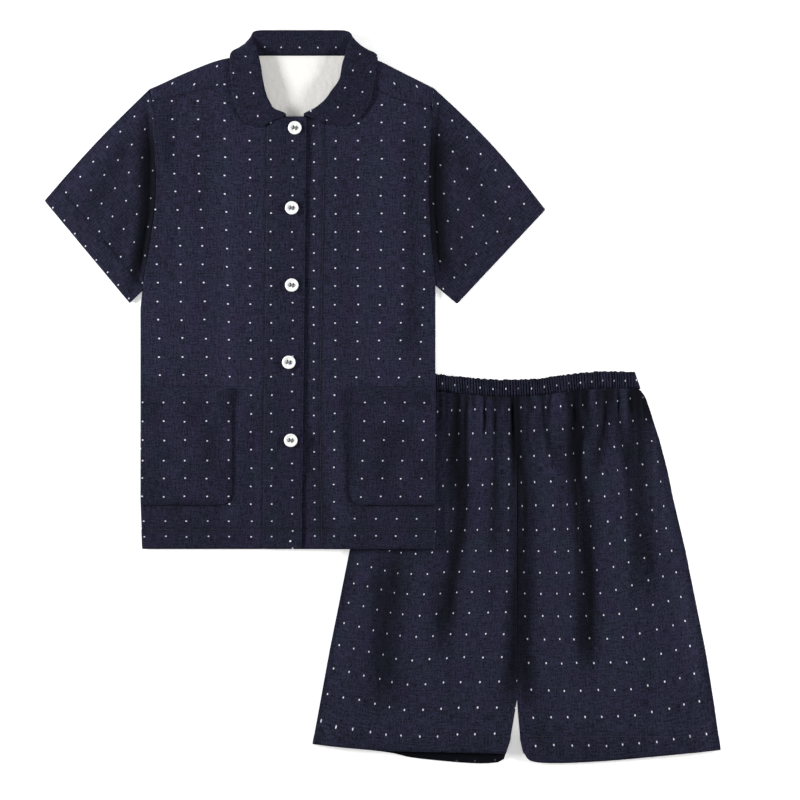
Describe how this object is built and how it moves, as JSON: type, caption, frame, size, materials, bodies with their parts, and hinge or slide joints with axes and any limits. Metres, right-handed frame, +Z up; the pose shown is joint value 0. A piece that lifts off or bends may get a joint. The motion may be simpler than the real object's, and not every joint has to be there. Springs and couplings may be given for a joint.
{
  "type": "jinbei set, shirt and shorts",
  "caption": "Two-piece lounge set laid flat: short-sleeved round-collar button shirt with patch pockets, its corner lying over shorts with a gathered elastic waist.",
  "frame": {"origin": "on the surface the set lies on, under the middle of the laid-out outline", "axes": "+Z up from the surface, +Y towards the collar, +X towards the wearer's left sleeve, the side of the shorts"},
  "size_m": [0.9112, 0.9872, 0.0133],
  "materials": {
    "shirt_cloth": "matt navy cotton double gauze with a small white woven dot, white gauze inside",
    "shorts_cloth": "matt navy cotton double gauze with a small white woven dot",
    "button": "satin white polyester, dark sewing thread"
  },
  "bodies": {
    "root": {"shirt_back": "shirt_cloth", "shirt_front_right": "shirt_cloth", "shirt_front_left": "shirt_cloth", "sleeve_right": "shirt_cloth", "sleeve_left": "shirt_cloth", "collar": "shirt_cloth", "pocket_right": "shirt_cloth", "pocket_left": "shirt_cloth", "button_1": "button", "button_2": "button", "button_3": "button", "button_4": "button", "button_5": "button", "waistband": "shorts_cloth", "shorts_front_right": "shorts_cloth", "shorts_front_left": "shorts_cloth", "shorts_back_right": "shorts_cloth", "shorts_back_left": "shorts_cloth"}
  },
  "joints": []
}
